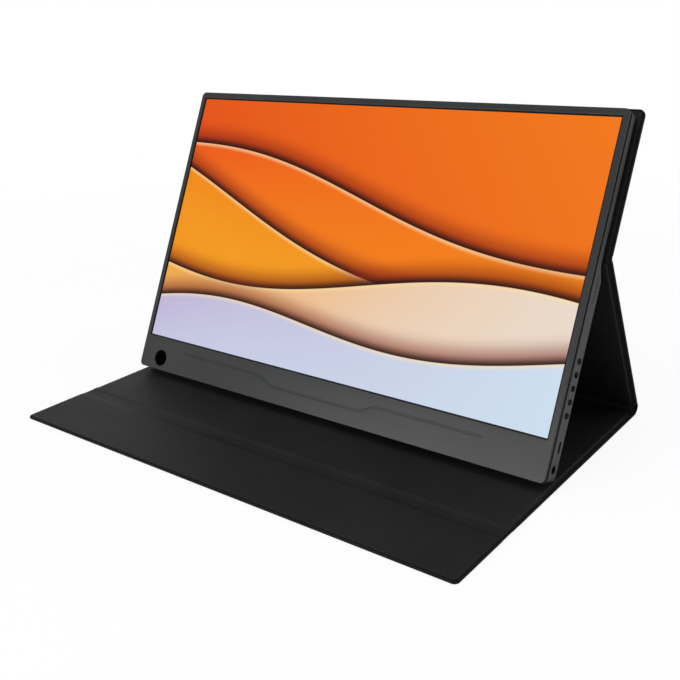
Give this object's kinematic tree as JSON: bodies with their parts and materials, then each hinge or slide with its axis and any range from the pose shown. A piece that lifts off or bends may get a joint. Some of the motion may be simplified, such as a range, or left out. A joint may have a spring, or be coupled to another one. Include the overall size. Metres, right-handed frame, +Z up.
{
  "type": "portable monitor with folding cover",
  "caption": "Slim portable monitor held at a lean by a magnetic folding cover, with side keys, sockets and a pen hole in the chin.",
  "frame": {"origin": "under the middle of the whole part, on the surface it stands on", "axes": "+X to the right of the screen, +Y to the back, +Z up"},
  "size_m": [0.3606, 0.244, 0.2119],
  "materials": {
    "cover_leather": "black synthetic leather with a fine grain",
    "cover_lining": "black smooth lining with a fine diagonal emboss",
    "cover_board": "grey-brown stiffening board",
    "magnet": "nickel-plated magnet",
    "bezel_plastic": "charcoal, fine texture",
    "housing_metal": "dark grey, satin",
    "screen": null,
    "film": "clear frosted film",
    "acrylic": "clear acrylic sheet",
    "reflector": "white film",
    "led_strip": "white strip with yellow emitters",
    "tray_steel": "pressed steel",
    "circuit_board": "green solder mask",
    "chip": "black moulded package",
    "flex": "amber flexible circuit",
    "ribbon": "pale flat ribbon",
    "switch_steel": "tin-plated",
    "key_plastic": "black",
    "light_lens": "clear lens",
    "socket_steel": "plated steel shell",
    "jack_plastic": "black",
    "speaker_plastic": "black",
    "lead_pvc": "red insulated wire",
    "sleeve_plastic": "black",
    "screw_steel": "black-plated steel",
    "board_screw_steel": "zinc-plated steel"
  },
  "bodies": {
    "floor_panel": {"floor_skin": "cover_leather", "floor_board": "cover_board", "floor_lining": "cover_lining", "crease_fold": "cover_lining", "rear_fold": "cover_leather"},
    "front_flap": {"flap_skin": "cover_leather", "flap_board": "cover_board", "flap_lining": "cover_lining"},
    "leg": {"leg_skin": "cover_leather", "leg_board": "cover_board", "leg_lining": "cover_lining"},
    "monitor": {"kink_fold": "cover_leather", "back_skin": "cover_leather", "back_board": "cover_board", "back_lining": "cover_lining", "cover_magnets": "magnet", "front_bezel": "bezel_plastic", "rear_housing": "housing_metal", "lcd_cell": "screen", "optical_films": "film", "light_guide": "acrylic", "reflector_sheet": "reflector", "backlight_bar": "led_strip", "panel_tray": "tray_steel", "timing_board": "circuit_board", "display_cable": "flex", "main_board": "circuit_board", "board_chips": "chip", "side_board": "circuit_board", "ribbon_cable": "ribbon", "key_board": "circuit_board", "key_switches": "switch_steel", "status_light": "light_lens", "data_socket": "socket_steel", "audio_jack": "jack_plastic", "video_sockets": "socket_steel", "hdmi_socket": "socket_steel", "speaker_left": "speaker_plastic", "speaker_right": "speaker_plastic", "speaker_leads": "lead_pvc", "pen_sleeve": "sleeve_plastic", "magnet_plate": "tray_steel", "housing_screws": "screw_steel", "board_screws": "board_screw_steel"},
    "menu_key": {"menu_key": "key_plastic"},
    "up_key": {"up_key": "key_plastic"},
    "down_key": {"down_key": "key_plastic"},
    "back_key": {"back_key": "key_plastic"},
    "power_key": {"power_key": "key_plastic"}
  },
  "joints": [
    {"name": "front_flap_fold", "type": "hinge", "parent": "floor_panel", "child": "front_flap", "pos_m": [0, -0.06774, 0.0012], "axis": [-1, 0, 0], "range_deg": [0, 110], "deforming": ["crease_fold"]},
    {"name": "leg_fold", "type": "hinge", "parent": "floor_panel", "child": "leg", "pos_m": [0, 0.11604, 0.006], "axis": [1, 0, 0], "range_deg": [-19, 10], "deforming": ["rear_fold"]},
    {"name": "upper_fold", "type": "hinge", "parent": "leg", "child": "monitor", "pos_m": [0, 0.05523, 0.12669], "axis": [1, 0, 0], "range_deg": [-20.5, 38.5], "deforming": ["kink_fold"]},
    {"name": "menu_press", "type": "slide", "parent": "monitor", "child": "menu_key", "axis": [-1, 0, 0], "range_m": [0, 0.0004], "stiffness_N_per_m": 300, "springref_m": -0.0015},
    {"name": "up_press", "type": "slide", "parent": "monitor", "child": "up_key", "axis": [-1, 0, 0], "range_m": [0, 0.0004], "stiffness_N_per_m": 300, "springref_m": -0.0015},
    {"name": "down_press", "type": "slide", "parent": "monitor", "child": "down_key", "axis": [-1, 0, 0], "range_m": [0, 0.0004], "stiffness_N_per_m": 300, "springref_m": -0.0015},
    {"name": "back_press", "type": "slide", "parent": "monitor", "child": "back_key", "axis": [-1, 0, 0], "range_m": [0, 0.0004], "stiffness_N_per_m": 300, "springref_m": -0.0015},
    {"name": "power_press", "type": "slide", "parent": "monitor", "child": "power_key", "axis": [-1, 0, 0], "range_m": [0, 0.0004], "stiffness_N_per_m": 300, "springref_m": -0.0015}
  ],
  "couplings": [
    {"joint": "upper_fold", "follows": "leg_fold", "ratio": -2}
  ]
}
